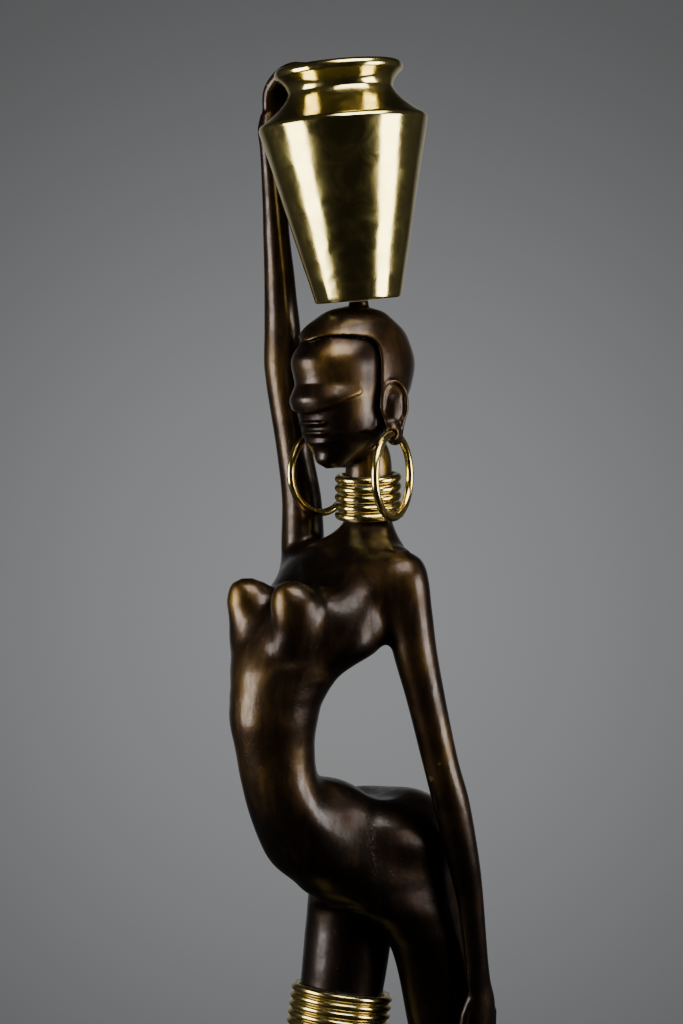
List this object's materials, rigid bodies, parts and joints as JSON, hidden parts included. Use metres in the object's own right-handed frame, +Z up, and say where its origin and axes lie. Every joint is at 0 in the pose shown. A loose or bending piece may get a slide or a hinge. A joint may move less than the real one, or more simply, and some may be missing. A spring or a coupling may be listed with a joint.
{
  "type": "metal female sculpture",
  "caption": "Slender cast bronze woman standing on a low base, with neck and thigh rings and hoop earrings, a raised hand steadying the polished brass jar on her head.",
  "frame": {"origin": "centre of the base's underside", "axes": "+Z up, she faces -Y, her left side is +X"},
  "size_m": [0.276, 0.42, 1.8037],
  "materials": {
    "figure_bronze": "very dark brown patina, satin, rubbed golden brown on the high places",
    "base_bronze": "dark brown patina, satin",
    "jar_brass": "polished, lightly tarnished and dented",
    "hoop_brass": "polished, lightly tarnished",
    "ring_brass": "polished, with pale green verdigris in the creases"
  },
  "bodies": {
    "root": {"base": "base_bronze", "figure": "figure_bronze", "jar": "jar_brass", "earring_left": "hoop_brass", "earring_right": "hoop_brass", "neck_ring_1": "ring_brass", "neck_ring_2": "ring_brass", "neck_ring_3": "ring_brass", "neck_ring_4": "ring_brass", "neck_ring_5": "ring_brass", "thigh_ring_1": "ring_brass", "thigh_ring_2": "ring_brass", "thigh_ring_3": "ring_brass", "thigh_ring_4": "ring_brass", "thigh_ring_5": "ring_brass", "thigh_ring_6": "ring_brass", "thigh_ring_7": "ring_brass", "thigh_ring_8": "ring_brass"}
  },
  "joints": []
}
